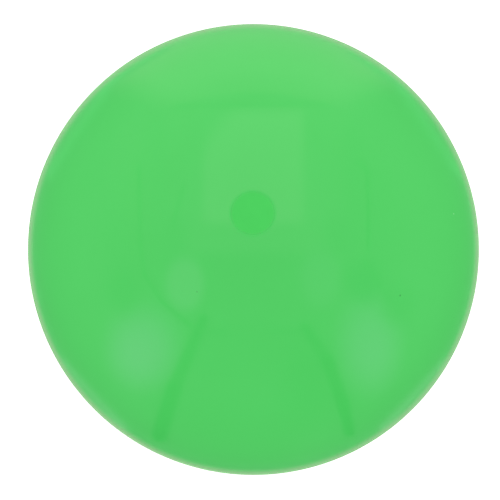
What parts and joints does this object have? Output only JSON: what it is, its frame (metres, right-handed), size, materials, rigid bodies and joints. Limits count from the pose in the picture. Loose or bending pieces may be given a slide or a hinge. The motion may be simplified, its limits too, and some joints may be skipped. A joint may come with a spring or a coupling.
{
  "type": "juggling ball",
  "caption": "Filled juggling ball: seamless soft shell with a flush push-in filler plug and a loose grain filling that rolls inside.",
  "frame": {"origin": "centre of the ball", "axes": "+Z from the ball's centre out through the middle of the filler plug; every piece is turned about Z, so X and Y are free"},
  "size_m": [0.07, 0.07, 0.07],
  "materials": {
    "shell_pvc": "gloss",
    "plug_pvc": "satin",
    "millet": "matte"
  },
  "bodies": {
    "shell": {"shell": "shell_pvc"},
    "plug": {"filler_plug": "plug_pvc"},
    "filling": {"millet_fill": "millet"}
  },
  "joints": [
    {"name": "plug_pull", "type": "slide", "parent": "shell", "child": "plug", "axis": [0, 0, 1], "range_m": [0, 0.012]},
    {"name": "filling_roll", "type": "hinge", "parent": "shell", "child": "filling", "pos_m": [0, 0, 0], "axis": [1, 0, 0], "continuous": true}
  ]
}
